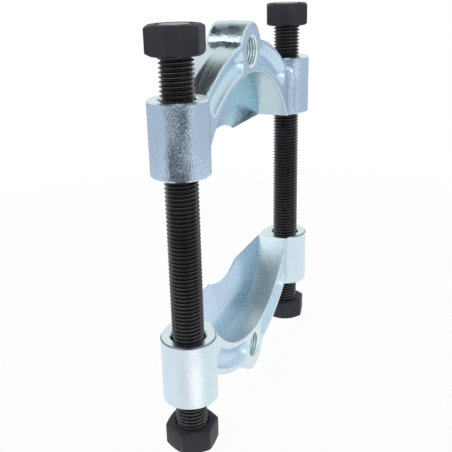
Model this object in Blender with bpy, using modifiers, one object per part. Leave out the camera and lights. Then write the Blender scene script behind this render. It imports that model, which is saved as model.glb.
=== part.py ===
"""Bearing separator: two forged half shells held apart on two threaded studs by hexagon nuts.

Metres, +Z up. The origin lies midway between the studs, on the plane that the lower nuts stand on.
X runs from stud to stud. The face with the pulling holes looks along -Y, and the flat side with
the wedge-shaped blades looks along +Y.
"""
import math

import bmesh
import bpy
from mathutils import Matrix, Vector

# Studs
STUD_DIAMETER = 0.016
STUD_LENGTH = 0.210
STUD_SPACING = 0.1575
STUD_END_CHAMFER = 0.0011

# Nuts
NUT_ACROSS_FLATS = 0.024
NUT_HEIGHT = 0.013
NUT_FACE_DIAMETER = 0.0228
NUT_EDGE_ANGLE = math.radians(30)
NUT_THREAD_CLEARANCE = 0.0003
NUT_COUNTERSINK = 0.0007
NUT_TURN = {"near_upper": 11.0, "far_upper": 21.0, "near_lower": 4.0, "far_lower": 10.0}

# Where the half shells stand on the studs, from the nut at each end
LOWER_NUT_TO_BOSS = 0.0145
UPPER_NUT_TO_BOSS = 0.0185

# End bosses of a half shell
BOSS_DIAMETER = 0.028
BOSS_LENGTH = 0.0345
BOSS_EDGE_CHAMFER = 0.0007
BOSS_BORE_CLEARANCE = 0.00075
BOSS_FILLET = 0.006

# Curved body of a half shell, heights measured from its parting plane
FACE_DEPTH = 0.006
RIM_TOP = 0.0517
RIM_OVER_STUDS = 0.0133
RIM_DRAFT = 0.0007
FACE_EDGE_ROUND = 0.0007
BACK_EDGE_ROUND = 0.0016

# Pulling boss in the middle, with its hole through the body
PULL_HOLE_DIAMETER = 0.0138
PULL_HOLE_MOUTH = 0.0168
PULL_HOLE_TO_MOUTH = 0.0029
PULL_BOSS_WALL = 0.0069
PULL_BOSS_FILLET = 0.003

# Kidney-shaped pockets in the face, one on each side of the pulling boss
POCKET_WIDTH = 0.0114
POCKET_DEPTH = 0.004
POCKET_FLOOR_ROUND = 0.0036
POCKET_DRAFT = 0.0004
POCKET_RIM_WALL = 0.003
POCKET_TO_HOLE = 0.0032
POCKET_TO_BOSS = 0.0076

# Mouth that takes the bearing, and the blade behind it
MOUTH_TO_RIM = 0.017
MOUTH_TO_STUD = 0.016
MOUTH_EDGE = 0.0008
BLADE_ROOT = 0.005
BLADE_EDGE = 0.0009
BLADE_TIP_EDGE = 0.0003
BLADE_BEVEL_HEIGHT = 0.012
BLADE_BEVEL_REACH = 0.028

# Shallow arc in the blade that fits round the shaft
KNIFE_RADIUS = 0.0425
KNIFE_HEIGHT = 0.005
KNIFE_LAND = 0.0005
KNIFE_SLOPE = 0.25

# Fineness of the round shapes
TURNED_STEPS = 48
NUT_STEPS = 36
LARGE_ARC_STEPS = 36
SMALL_ARC_STEPS = 16
ROUND_STEPS = 2
OVERSHOOT = 0.010
SLOPE_OVERSHOOT = 0.001
WELD_DISTANCE = 0.00001

HALF_SPACING = STUD_SPACING / 2
BOSS_RADIUS = BOSS_DIAMETER / 2
BACK_DEPTH = BOSS_RADIUS
LOWER_PARTING = NUT_HEIGHT + LOWER_NUT_TO_BOSS + BOSS_LENGTH
UPPER_PARTING = STUD_LENGTH - NUT_HEIGHT - UPPER_NUT_TO_BOSS - BOSS_LENGTH
RIM_RISE = RIM_TOP - RIM_OVER_STUDS
RIM_RADIUS = (HALF_SPACING ** 2 + RIM_RISE ** 2) / (2 * RIM_RISE)
RIM_CENTRE = RIM_TOP - RIM_RADIUS
MOUTH_HEIGHT = RIM_TOP - MOUTH_TO_RIM
MOUTH_REACH = HALF_SPACING - MOUTH_TO_STUD
MOUTH_RADIUS = (MOUTH_REACH ** 2 + MOUTH_HEIGHT ** 2) / (2 * MOUTH_HEIGHT)
MOUTH_CENTRE = MOUTH_HEIGHT - MOUTH_RADIUS
PULL_HOLE_HEIGHT = MOUTH_HEIGHT + PULL_HOLE_TO_MOUTH + PULL_HOLE_MOUTH / 2
PULL_BOSS_RADIUS = PULL_HOLE_MOUTH / 2 + PULL_BOSS_WALL
KNIFE_CENTRE = KNIFE_HEIGHT - KNIFE_RADIUS

ZINC = ("zinc_plate", (0.62, 0.68, 0.76), 0.28, 1.0)
BLACK_STUD = ("blackened_stud_steel", (0.012, 0.012, 0.013), 0.38, 0.6)
BLACK_NUT = ("blackened_nut_steel", (0.020, 0.020, 0.024), 0.42, 0.6)


def clear_scene():
    for old in list(bpy.data.objects):
        bpy.data.objects.remove(old)


def new_collection(name):
    collection = bpy.data.collections.new(name)
    bpy.context.scene.collection.children.link(collection)
    return collection


def material(name, colour, roughness, metallic):
    made = bpy.data.materials.new(name)
    made.use_nodes = True
    shader = made.node_tree.nodes["Principled BSDF"]
    shader.inputs["Base Color"].default_value = (*colour, 1.0)
    shader.inputs["Roughness"].default_value = roughness
    shader.inputs["Metallic"].default_value = metallic
    return made


def place(obj, collection):
    collection.objects.link(obj)
    return obj


def as_guide(obj, collection):
    """A cutter or a source shape: it shapes other pieces and is no piece itself."""
    place(obj, collection)
    obj.hide_render = True
    obj.display_type = "WIRE"
    return obj


def evaluated_mesh(obj):
    bpy.context.view_layer.update()
    evaluated = obj.evaluated_get(bpy.context.evaluated_depsgraph_get())
    return bpy.data.meshes.new_from_object(evaluated)


def finished_mesh(obj, name):
    """The mesh that an object's modifiers make, with points welded where two cuts meet."""
    mesh = evaluated_mesh(obj)
    shape = bmesh.new()
    shape.from_mesh(mesh)
    bmesh.ops.remove_doubles(shape, verts=shape.verts, dist=WELD_DISTANCE)
    shape.to_mesh(mesh)
    shape.free()
    mesh.name = name
    return mesh


def boolean(obj, other, operation):
    step = obj.modifiers.new(other.name, "BOOLEAN")
    step.operation = operation
    step.solver = "EXACT"
    step.object = other


def arc(centre, radius, start, end, steps):
    """Points from angle start to angle end, both in radians from the first axis."""
    points = []
    for index in range(steps + 1):
        angle = start + (end - start) * index / steps
        points.append((centre[0] + radius * math.cos(angle), centre[1] + radius * math.sin(angle)))
    return points


def turned(name, profile, axis_turn, location, collection, steps=TURNED_STEPS):
    """A profile of (radius, height) points, top to bottom, turned about its own axis."""
    mesh = bpy.data.meshes.new(name)
    edges = [(index, index + 1) for index in range(len(profile) - 1)]
    mesh.from_pydata([(radius, 0.0, height) for radius, height in profile], edges, [])
    obj = bpy.data.objects.new(name, mesh)
    screw = obj.modifiers.new("turn", "SCREW")
    screw.steps = steps
    screw.render_steps = steps
    screw.use_merge_vertices = True
    screw.merge_threshold = WELD_DISTANCE
    obj.rotation_euler = axis_turn
    obj.location = location
    return as_guide(obj, collection)


def outline_solid(name, points, thickness, matrix, collection):
    """A flat closed outline given a thickness to both sides of its plane, then moved by matrix."""
    curve = bpy.data.curves.new(name, "CURVE")
    curve.dimensions = "2D"
    curve.fill_mode = "BOTH"
    curve.extrude = thickness / 2
    spline = curve.splines.new("POLY")
    spline.points.add(len(points) - 1)
    for point, (first, second) in zip(spline.points, points):
        point.co = (first, second, 0.0, 1.0)
    spline.use_cyclic_u = True
    flat = bpy.data.objects.new(name + "_outline", curve)
    place(flat, collection)
    mesh = evaluated_mesh(flat)
    bpy.data.objects.remove(flat)
    shape = bmesh.new()
    shape.from_mesh(mesh)
    bmesh.ops.remove_doubles(shape, verts=shape.verts, dist=WELD_DISTANCE)
    bmesh.ops.transform(shape, matrix=matrix, verts=shape.verts)
    bmesh.ops.recalc_face_normals(shape, faces=shape.faces)
    shape.to_mesh(mesh)
    shape.free()
    mesh.name = name
    return as_guide(bpy.data.objects.new(name, mesh), collection)


def loft(name, rings, collection):
    """Closed rings with equal numbers of points, joined one to the next and capped at both ends."""
    shape = bmesh.new()
    rows = [[shape.verts.new(point) for point in ring] for ring in rings]
    count = len(rows[0])
    for near, far in zip(rows, rows[1:]):
        for index in range(count):
            after = (index + 1) % count
            shape.faces.new((near[index], near[after], far[after], far[index]))
    shape.faces.new(rows[0])
    shape.faces.new(rows[-1])
    bmesh.ops.recalc_face_normals(shape, faces=shape.faces)
    mesh = bpy.data.meshes.new(name)
    shape.to_mesh(mesh)
    shape.free()
    return as_guide(bpy.data.objects.new(name, mesh), collection)


def rounded_levels(start, end, start_round, end_round, middle_offset):
    """Depths and outline offsets from start to end, with both edges rounded and a ridge between."""
    levels = []
    for index in range(ROUND_STEPS + 1):
        turn = math.pi / 2 * index / ROUND_STEPS
        levels.append((start + start_round * (1 - math.sin(turn)), -start_round * (1 - math.cos(turn))))
    levels.reverse()
    levels.append(((start + end) / 2, middle_offset))
    for index in range(ROUND_STEPS + 1):
        turn = math.pi / 2 * index / ROUND_STEPS
        levels.append((end - end_round * (1 - math.sin(turn)), -end_round * (1 - math.cos(turn))))
    return levels


def upright(points, depth):
    """Outline points in the plane of the face, set at a depth behind the plane of the studs."""
    return [(across, depth, height) for across, height in points]


# Outline of the body seen along Y: the rim, the pulling boss over it, and the fillets between them
def body_outline(offset):
    rim = RIM_RADIUS + offset
    boss = PULL_BOSS_RADIUS + offset
    fillet = PULL_BOSS_FILLET - offset
    span = PULL_HOLE_HEIGHT - RIM_CENTRE
    rise = ((rim + fillet) ** 2 - (boss + fillet) ** 2 + span ** 2) / (2 * span)
    reach = math.sqrt((rim + fillet) ** 2 - rise ** 2)
    from_rim = math.atan2(rise, reach)
    from_boss = math.atan2(rise - span, reach)
    rim_start = math.acos(HALF_SPACING / rim)
    side = arc((0, RIM_CENTRE), rim, rim_start, from_rim, LARGE_ARC_STEPS // 2)
    side += arc((reach, RIM_CENTRE + rise), fillet, from_rim - math.pi, from_boss - math.pi,
                ROUND_STEPS)[1:]
    side += arc((0, PULL_HOLE_HEIGHT), boss, from_boss, math.pi / 2, SMALL_ARC_STEPS // 2)[1:]
    other_side = [(-across, height) for across, height in reversed(side[:-1])]
    return [(-HALF_SPACING, -OVERSHOOT), (HALF_SPACING, -OVERSHOOT)] + side + other_side


def half_body(guides):
    levels = rounded_levels(-FACE_DEPTH, BACK_DEPTH, FACE_EDGE_ROUND, BACK_EDGE_ROUND, RIM_DRAFT)
    rings = [upright(body_outline(offset), depth) for depth, offset in levels]
    return loft("half_shell_body", rings, guides)


def end_boss(side, guides):
    profile = [
        (0.0, BOSS_LENGTH),
        (BOSS_RADIUS - BOSS_EDGE_CHAMFER, BOSS_LENGTH),
        (BOSS_RADIUS, BOSS_LENGTH - BOSS_EDGE_CHAMFER),
        (BOSS_RADIUS, BOSS_EDGE_CHAMFER),
        (BOSS_RADIUS - BOSS_EDGE_CHAMFER, 0.0),
        (0.0, 0.0),
    ]
    return turned(f"end_boss_{side:+d}", profile, (0, 0, 0), (side * HALF_SPACING, 0, 0), guides)


# Fillet that leads the face forward onto a boss, kept below the rim by the body's own outline
def boss_fillet(side, guides):
    drop = FACE_DEPTH + BOSS_FILLET
    reach = math.sqrt((BOSS_RADIUS + BOSS_FILLET) ** 2 - drop ** 2)
    centre = (HALF_SPACING - reach, -drop)
    end_angle = math.atan2(drop, reach)
    points = arc(centre, BOSS_FILLET, math.pi / 2, end_angle, 2 * ROUND_STEPS)
    points += [(HALF_SPACING, -FACE_DEPTH), (HALF_SPACING, 0.0), (centre[0], 0.0)]
    points = [(side * across, depth) for across, depth in points]
    lift = Matrix.Translation((0, 0, BOSS_LENGTH / 2))
    fillet = outline_solid(f"boss_fillet_{side:+d}", points, BOSS_LENGTH, lift, guides)
    depths = (-FACE_DEPTH - BOSS_RADIUS, BACK_DEPTH)
    limit = loft(f"fillet_limit_{side:+d}", [upright(body_outline(0.0), depth) for depth in depths], guides)
    boolean(fillet, limit, "INTERSECT")
    return fillet


# The mouth is an arc wall down to the blade. The blade thins towards the parting plane, with a
# flatter ground bevel beside each end of the knife arc.
def mouth_outline(offset):
    radius = MOUTH_RADIUS + offset
    end = math.asin((-OVERSHOOT - MOUTH_CENTRE) / radius)
    return arc((0, MOUTH_CENTRE), radius, end, math.pi - end, LARGE_ARC_STEPS)


def blade_front(height):
    """Depth of the blade's front surface, a shallow arc from its root to the parting plane."""
    slack = (BLADE_ROOT - BLADE_EDGE) * ((MOUTH_HEIGHT - height) / MOUTH_HEIGHT) ** 2
    return BACK_DEPTH - BLADE_ROOT + slack


def blade_space(guides):
    heights = [-OVERSHOOT + (RIM_TOP + OVERSHOOT) * index / SMALL_ARC_STEPS
               for index in range(SMALL_ARC_STEPS + 1)]
    points = [(blade_front(min(height, MOUTH_HEIGHT)), height) for height in heights]
    points = [(min(depth, BACK_DEPTH + KNIFE_LAND), height) for depth, height in points]
    front = -FACE_DEPTH - BOSS_RADIUS
    points = [(front, -OVERSHOOT)] + points + [(front, RIM_TOP)]
    turn = Matrix(((0, 0, 1, 0), (1, 0, 0, 0), (0, 1, 0, 0), (0, 0, 0, 1)))
    return outline_solid("blade_space", points, STUD_SPACING, turn, guides)


def blade_bevel(side, guides):
    """The space in front of one ground bevel, a box cut off along the bevel's plane."""
    corner = Vector((MOUTH_REACH, BACK_DEPTH - BLADE_EDGE, 0.0))
    tip = Vector((math.sqrt(KNIFE_RADIUS ** 2 - KNIFE_CENTRE ** 2), BACK_DEPTH - BLADE_TIP_EDGE, 0.0))
    top = Vector((BLADE_BEVEL_REACH, blade_front(BLADE_BEVEL_HEIGHT), BLADE_BEVEL_HEIGHT))
    normal = (tip - corner).cross(top - corner)
    if normal.y < 0:
        normal.negate()
    low = Vector((0.0, -FACE_DEPTH - BOSS_RADIUS, -OVERSHOOT))
    high = Vector((HALF_SPACING, BACK_DEPTH + KNIFE_LAND, MOUTH_HEIGHT))
    shape = bmesh.new()
    bmesh.ops.create_cube(shape, size=1.0)
    size = Matrix.Diagonal((*(high - low), 1.0))
    bmesh.ops.transform(shape, matrix=Matrix.Translation((low + high) / 2) @ size, verts=shape.verts)
    whole = shape.verts[:] + shape.edges[:] + shape.faces[:]
    bmesh.ops.bisect_plane(shape, geom=whole, plane_co=corner, plane_no=normal, clear_outer=True)
    bmesh.ops.holes_fill(shape, edges=[edge for edge in shape.edges if edge.is_boundary])
    bmesh.ops.transform(shape, matrix=Matrix.Diagonal((side, 1, 1, 1)), verts=shape.verts)
    bmesh.ops.recalc_face_normals(shape, faces=shape.faces)
    mesh = bpy.data.meshes.new("blade_bevel")
    shape.to_mesh(mesh)
    shape.free()
    return as_guide(bpy.data.objects.new(f"blade_bevel_{side:+d}", mesh), guides)


def mouth_cutter(guides):
    levels = (
        (-FACE_DEPTH - BOSS_RADIUS, MOUTH_EDGE + SLOPE_OVERSHOOT),
        (-FACE_DEPTH - SLOPE_OVERSHOOT, MOUTH_EDGE + SLOPE_OVERSHOOT),
        (-FACE_DEPTH + MOUTH_EDGE, 0.0),
        (BACK_DEPTH + OVERSHOOT, 0.0),
    )
    cutter = loft("mouth_cutter", [upright(mouth_outline(offset), depth) for depth, offset in levels],
                  guides)
    space = blade_space(guides)
    for side in (-1, 1):
        boolean(space, blade_bevel(side, guides), "UNION")
    boolean(cutter, space, "INTERSECT")
    return cutter


def knife_cutter(guides):
    """The shaft arc through the blade, flared towards the face like a countersink."""
    flare = BLADE_ROOT + KNIFE_LAND
    profile = [
        (0.0, flare),
        (KNIFE_RADIUS + (flare - KNIFE_LAND) / KNIFE_SLOPE, flare),
        (KNIFE_RADIUS, KNIFE_LAND),
        (KNIFE_RADIUS, -OVERSHOOT),
        (0.0, -OVERSHOOT),
    ]
    towards_face = (math.pi / 2, 0, 0)
    return turned("knife_cutter", profile, towards_face, (0, BACK_DEPTH, KNIFE_CENTRE), guides)


def pocket_outline(side, inset):
    """A kidney: an arc slot with round ends, drawn smaller by inset all round."""
    half_width = POCKET_WIDTH / 2 - inset
    middle = RIM_RADIUS - POCKET_RIM_WALL - POCKET_WIDTH / 2
    start = math.acos((PULL_HOLE_MOUTH / 2 + POCKET_TO_HOLE + POCKET_WIDTH / 2) / middle)
    end = math.acos((HALF_SPACING - BOSS_RADIUS - POCKET_TO_BOSS - POCKET_WIDTH / 2) / middle)
    points = []
    points += arc((0, RIM_CENTRE), middle + half_width, start, end, SMALL_ARC_STEPS // 2)
    for angle, turn in ((end, 0.0), (start, math.pi)):
        centre = (middle * math.cos(angle), RIM_CENTRE + middle * math.sin(angle))
        cap = arc(centre, half_width, angle + turn, angle + turn - math.pi, 2 * ROUND_STEPS + 2)
        points += cap[1:-1]
        if turn == 0.0:
            points += arc((0, RIM_CENTRE), middle - half_width, end, start, SMALL_ARC_STEPS // 2)
    return [(side * across, height) for across, height in points]


def pocket_cutter(side, guides):
    levels = [(-FACE_DEPTH - SLOPE_OVERSHOOT, 0.0)]
    for index in range(ROUND_STEPS + 2):
        turn = math.pi / 2 * index / (ROUND_STEPS + 1)
        depth = -FACE_DEPTH + POCKET_DEPTH - POCKET_FLOOR_ROUND * (1 - math.sin(turn))
        levels.append((depth, POCKET_DRAFT + POCKET_FLOOR_ROUND * (1 - math.cos(turn))))
    rings = [upright(pocket_outline(side, inset), depth) for depth, inset in levels]
    return loft(f"pocket_cutter_{side:+d}", rings, guides)


def bore_cutter(name, radius, mouth_radius, length, turn, location, guides, steps=TURNED_STEPS):
    """A through bore that opens out at 45 degrees to the mouth radius at both faces, and past them."""
    flare = mouth_radius - radius
    top = length / 2
    profile = [
        (0.0, top + SLOPE_OVERSHOOT),
        (mouth_radius + SLOPE_OVERSHOOT, top + SLOPE_OVERSHOOT),
        (radius, top - flare),
        (radius, flare - top),
        (mouth_radius + SLOPE_OVERSHOOT, -top - SLOPE_OVERSHOOT),
        (0.0, -top - SLOPE_OVERSHOOT),
    ]
    return turned(name, profile, turn, location, guides, steps)


def half_shell(guides):
    """One forging with its parting plane at height 0, its mouth open downwards."""
    shell = half_body(guides)
    for side in (-1, 1):
        boolean(shell, end_boss(side, guides), "UNION")
        boolean(shell, boss_fillet(side, guides), "UNION")
    below = outline_solid(
        "below_parting",
        [(-STUD_SPACING, -STUD_SPACING), (STUD_SPACING, -STUD_SPACING),
         (STUD_SPACING, STUD_SPACING), (-STUD_SPACING, STUD_SPACING)],
        2 * OVERSHOOT, Matrix.Translation((0, 0, -OVERSHOOT)), guides)
    boolean(shell, below, "DIFFERENCE")
    boolean(shell, mouth_cutter(guides), "DIFFERENCE")
    boolean(shell, knife_cutter(guides), "DIFFERENCE")
    thickness = FACE_DEPTH + BACK_DEPTH
    pull_place = (0, BACK_DEPTH - thickness / 2, PULL_HOLE_HEIGHT)
    pull_hole = bore_cutter("pull_hole_cutter", PULL_HOLE_DIAMETER / 2, PULL_HOLE_MOUTH / 2, thickness,
                            (math.pi / 2, 0, 0), pull_place, guides)
    boolean(shell, pull_hole, "DIFFERENCE")
    bore = STUD_DIAMETER / 2 + BOSS_BORE_CLEARANCE
    for side in (-1, 1):
        boolean(shell, pocket_cutter(side, guides), "DIFFERENCE")
        stud_bore = bore_cutter(f"stud_bore_cutter_{side:+d}", bore, bore + BOSS_EDGE_CHAMFER, BOSS_LENGTH,
                                (0, 0, 0), (side * HALF_SPACING, 0, BOSS_LENGTH / 2), guides)
        boolean(shell, stud_bore, "DIFFERENCE")
    return finished_mesh(shell, "half_shell")


def stud(guides):
    radius = STUD_DIAMETER / 2
    profile = [
        (0.0, STUD_LENGTH),
        (radius - STUD_END_CHAMFER, STUD_LENGTH),
        (radius, STUD_LENGTH - STUD_END_CHAMFER),
        (radius, STUD_END_CHAMFER),
        (radius - STUD_END_CHAMFER, 0.0),
        (0.0, 0.0),
    ]
    return finished_mesh(turned("stud_source", profile, (0, 0, 0), (0, 0, 0), guides), "stud")


def nut(guides):
    """A hexagon nut chamfered on both faces, standing on height 0."""
    corner_radius = NUT_ACROSS_FLATS / math.sqrt(3)
    corners = arc((0, 0), corner_radius, 0.0, 5 * math.pi / 3, 5)
    lift = Matrix.Translation((0, 0, NUT_HEIGHT / 2))
    hexagon = outline_solid("nut_source", corners, NUT_HEIGHT, lift, guides)
    cone_radius = corner_radius + SLOPE_OVERSHOOT
    slope = math.tan(NUT_EDGE_ANGLE)
    drop = (cone_radius - NUT_FACE_DIAMETER / 2) * slope
    tip_radius = NUT_FACE_DIAMETER / 2 - SLOPE_OVERSHOOT / slope
    profile = [
        (0.0, NUT_HEIGHT + SLOPE_OVERSHOOT),
        (tip_radius, NUT_HEIGHT + SLOPE_OVERSHOOT),
        (cone_radius, NUT_HEIGHT - drop),
        (cone_radius, drop),
        (tip_radius, -SLOPE_OVERSHOOT),
        (0.0, -SLOPE_OVERSHOOT),
    ]
    cones = turned("nut_edge_cones", profile, (0, 0, 0), (0, 0, 0), guides, NUT_STEPS)
    boolean(hexagon, cones, "INTERSECT")
    bore = STUD_DIAMETER / 2 + NUT_THREAD_CLEARANCE
    cutter = bore_cutter("nut_bore_cutter", bore, bore + NUT_COUNTERSINK, NUT_HEIGHT, (0, 0, 0),
                         (0, 0, NUT_HEIGHT / 2), guides, NUT_STEPS)
    boolean(hexagon, cutter, "DIFFERENCE")
    return finished_mesh(hexagon, "nut")


def piece(name, mesh, finish, location, turn, collection):
    obj = bpy.data.objects.new(name, mesh)
    obj.data.materials.clear()
    obj.data.materials.append(finish)
    obj.data.shade_smooth()
    obj.data.set_sharp_from_angle(angle=math.radians(30))
    obj.location = location
    obj.rotation_euler = turn
    return place(obj, collection)


def build():
    clear_scene()
    parts = new_collection("bearing_separator")
    guides = new_collection("cutters")
    zinc = material(*ZINC)
    stud_black = material(*BLACK_STUD)
    nut_black = material(*BLACK_NUT)
    shell_mesh = half_shell(guides)
    stud_mesh = stud(guides)
    nut_mesh = nut(guides)
    piece("upper_half_shell", shell_mesh, zinc, (0, 0, UPPER_PARTING), (0, 0, 0), parts)
    piece("lower_half_shell", shell_mesh, zinc, (0, 0, LOWER_PARTING), (0, math.pi, 0), parts)
    for side, label in ((-1, "near"), (1, "far")):
        across = side * HALF_SPACING
        piece(f"{label}_stud", stud_mesh, stud_black, (across, 0, 0), (0, 0, 0), parts)
        for level, height in (("lower", 0.0), ("upper", STUD_LENGTH - NUT_HEIGHT)):
            turn = math.radians(NUT_TURN[f"{label}_{level}"])
            piece(f"{label}_{level}_nut", nut_mesh, nut_black, (across, 0, height), (0, 0, turn), parts)


build()
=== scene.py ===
import math

import bmesh
import bpy
from mathutils import Matrix, Vector, noise


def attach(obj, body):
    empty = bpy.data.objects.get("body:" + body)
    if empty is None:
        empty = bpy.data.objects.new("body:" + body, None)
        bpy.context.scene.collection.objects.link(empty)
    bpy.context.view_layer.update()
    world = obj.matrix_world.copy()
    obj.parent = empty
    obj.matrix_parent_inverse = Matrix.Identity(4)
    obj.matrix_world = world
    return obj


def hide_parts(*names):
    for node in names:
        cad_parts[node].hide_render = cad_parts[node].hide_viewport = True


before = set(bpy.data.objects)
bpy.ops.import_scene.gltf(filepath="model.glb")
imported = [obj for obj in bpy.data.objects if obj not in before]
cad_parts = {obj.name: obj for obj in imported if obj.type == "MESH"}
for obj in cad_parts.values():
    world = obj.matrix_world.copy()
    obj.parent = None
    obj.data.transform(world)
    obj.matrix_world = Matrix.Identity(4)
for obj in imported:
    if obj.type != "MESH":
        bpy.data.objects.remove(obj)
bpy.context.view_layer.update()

# Studs
# Two lengths of rolled steel rod, 16 mm across with a 2 mm thread from end to end, blackened in a
# hot oxide bath. Their ends are chamfered on a lathe. The half shells slide on them.
STUD_LENGTH = 0.210
STUD_HALF_SPACING = 0.07875
THREAD_DIAMETER = 0.016
THREAD_CORE_DIAMETER = 0.01355
THREAD_PITCH = 0.002
STUD_END_DIAMETER = 0.0137
STUD_STEPS_AROUND = 56
ROWS_PER_TURN = 8.0
TURNS_BELOW_END = 2.4
SPARE_TURNS = 4.0
CREST_HALF_SHARE = 0.0625
END_SNAP_SHARE = 0.0625
ROW_MERGE = 0.00002
WELD = 0.000002
END_TOLERANCE = 0.0001
DISC_TOLERANCE = 0.00001
CREST_HIGHLIGHT_BAND = 0.00018
STUD_OXIDE = (0.0030, 0.0026, 0.0040)
STUD_OXIDE_PALE = (0.0068, 0.0062, 0.0088)
# The lighter grey painted along the thread's crests as a highlight
STUD_CREST_HIGHLIGHT = (0.125, 0.118, 0.130)
STUD_BARE_STEEL = (0.82, 0.76, 0.84)
NEAR_STUD_START = 0.0
FAR_STUD_START = 140.0


def node(tree, kind, inputs=None, **settings):
    """Adds a node, sets its properties, then sets its inputs or links them to other nodes."""
    made = tree.nodes.new(kind)
    for name, value in settings.items():
        setattr(made, name, value)
    for name, value in (inputs or {}).items():
        if isinstance(value, bpy.types.NodeSocket):
            tree.links.new(value, made.inputs[name])
        else:
            made.inputs[name].default_value = value
    return made


def maths(tree, operation, *values):
    inputs = {place: value for place, value in enumerate(values)}
    return node(tree, "ShaderNodeMath", inputs, operation=operation).outputs[0]


def threaded_rod_tree():
    """A closed rod with a right-hand thread, from rows that run along the helix."""
    tree = bpy.data.node_groups.new("threaded rod", "GeometryNodeTree")
    wanted = (
        ("Length", "NodeSocketFloat", STUD_LENGTH),
        ("Diameter", "NodeSocketFloat", THREAD_DIAMETER),
        ("Core Diameter", "NodeSocketFloat", THREAD_CORE_DIAMETER),
        ("Pitch", "NodeSocketFloat", THREAD_PITCH),
        ("End Diameter", "NodeSocketFloat", STUD_END_DIAMETER),
        ("Steps Around", "NodeSocketInt", STUD_STEPS_AROUND),
        ("Finish", "NodeSocketMaterial", None),
    )
    for name, kind, value in wanted:
        socket = tree.interface.new_socket(name, in_out="INPUT", socket_type=kind)
        if value is not None:
            socket.default_value = value
    tree.interface.new_socket("Geometry", in_out="OUTPUT", socket_type="NodeSocketGeometry")
    given = tree.nodes.new("NodeGroupInput").outputs
    length = given["Length"]
    pitch = given["Pitch"]
    radius = maths(tree, "DIVIDE", given["Diameter"], 2.0)
    depth = maths(tree, "SUBTRACT", radius, maths(tree, "DIVIDE", given["Core Diameter"], 2.0))
    end_radius = maths(tree, "DIVIDE", given["End Diameter"], 2.0)
    turns = maths(tree, "ADD", maths(tree, "DIVIDE", length, pitch), SPARE_TURNS)
    rows = maths(tree, "ADD", maths(tree, "MULTIPLY", turns, ROWS_PER_TURN), 1.0)
    columns = maths(tree, "ADD", given["Steps Around"], 1.0)
    grid = node(tree, "GeometryNodeMeshGrid",
                {"Size X": 1.0, "Size Y": 1.0, "Vertices X": columns, "Vertices Y": rows})
    here = tree.nodes.new("GeometryNodeInputPosition").outputs[0]
    spot = node(tree, "ShaderNodeSeparateXYZ", {"Vector": here})
    around = maths(tree, "ADD", spot.outputs["X"], 0.5)
    along = maths(tree, "MULTIPLY", maths(tree, "ADD", spot.outputs["Y"], 0.5), turns)
    # Distance from the middle of the nearest crest, which gives the depth of the 60 degree groove
    share = maths(tree, "FRACT", maths(tree, "ADD", along, 0.5 - CREST_HALF_SHARE))
    from_crest = maths(tree, "ABSOLUTE", maths(tree, "SUBTRACT", share, 0.5))
    off_flat = maths(tree, "MULTIPLY", maths(tree, "SUBTRACT", from_crest, CREST_HALF_SHARE), pitch)
    groove = maths(tree, "MAXIMUM", maths(tree, "MULTIPLY", off_flat, math.sqrt(3.0)), 0.0)
    thread = maths(tree, "SUBTRACT", radius, maths(tree, "MINIMUM", groove, depth))
    # Height along the rod, with the rows past each end drawn in to the axis to close it
    risen = maths(tree, "SUBTRACT", maths(tree, "ADD", along, around), TURNS_BELOW_END)
    height = maths(tree, "MULTIPLY", risen, pitch)
    below_top = maths(tree, "SUBTRACT", length, height)
    from_end = maths(tree, "MINIMUM", height, below_top)
    snap = maths(tree, "MULTIPLY", pitch, END_SNAP_SHARE)
    near_end = maths(tree, "LESS_THAN", maths(tree, "ABSOLUTE", from_end), snap)
    from_end = maths(tree, "MULTIPLY", from_end, maths(tree, "SUBTRACT", 1.0, near_end))
    cone = maths(tree, "ADD", end_radius, from_end)
    fall = maths(tree, "DIVIDE", maths(tree, "MULTIPLY", from_end, end_radius), pitch)
    steep = maths(tree, "ADD", end_radius, fall)
    limit = maths(tree, "MAXIMUM", maths(tree, "MINIMUM", cone, steep), 0.0)
    reach = maths(tree, "MINIMUM", thread, limit)
    inside = maths(tree, "MAXIMUM", from_end, 0.0)
    upper = maths(tree, "LESS_THAN", below_top, height)
    high = maths(tree, "MULTIPLY", upper, maths(tree, "SUBTRACT", length, inside))
    low = maths(tree, "MULTIPLY", maths(tree, "SUBTRACT", 1.0, upper), inside)
    angle = maths(tree, "MULTIPLY", around, math.tau)
    place = node(tree, "ShaderNodeCombineXYZ", {
        "X": maths(tree, "MULTIPLY", reach, maths(tree, "COSINE", angle)),
        "Y": maths(tree, "MULTIPLY", reach, maths(tree, "SINE", angle)),
        "Z": maths(tree, "ADD", high, low)})
    moved = node(tree, "GeometryNodeSetPosition",
                 {"Geometry": grid.outputs["Mesh"], "Position": place.outputs[0]})
    joined = node(tree, "GeometryNodeMergeByDistance",
                  {"Geometry": moved.outputs[0], "Distance": ROW_MERGE})
    real = node(tree, "GeometryNodeRealizeInstances", {"Geometry": joined.outputs[0]})
    finished = node(tree, "GeometryNodeSetMaterial",
                    {"Geometry": real.outputs[0], "Material": given["Finish"]})
    node(tree, "NodeGroupOutput", {"Geometry": finished.outputs[0]})
    return tree


def plain_mesh(obj, name):
    """What an object's modifiers make, as a mesh of its own whose faces all point outwards."""
    bpy.context.view_layer.update()
    mesh = bpy.data.meshes.new_from_object(obj.evaluated_get(bpy.context.evaluated_depsgraph_get()))
    mesh.name = name
    shape = bmesh.new()
    shape.from_mesh(mesh)
    bmesh.ops.remove_doubles(shape, verts=shape.verts, dist=WELD)
    bmesh.ops.dissolve_degenerate(shape, edges=shape.edges, dist=WELD)
    bmesh.ops.recalc_face_normals(shape, faces=shape.faces)
    shape.to_mesh(mesh)
    shape.free()
    return mesh


def guide(name, mesh):
    """A source shape or a cutter, deleted once its work is done."""
    obj = bpy.data.objects.new(name, mesh)
    bpy.context.scene.collection.objects.link(obj)
    return obj


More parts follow.
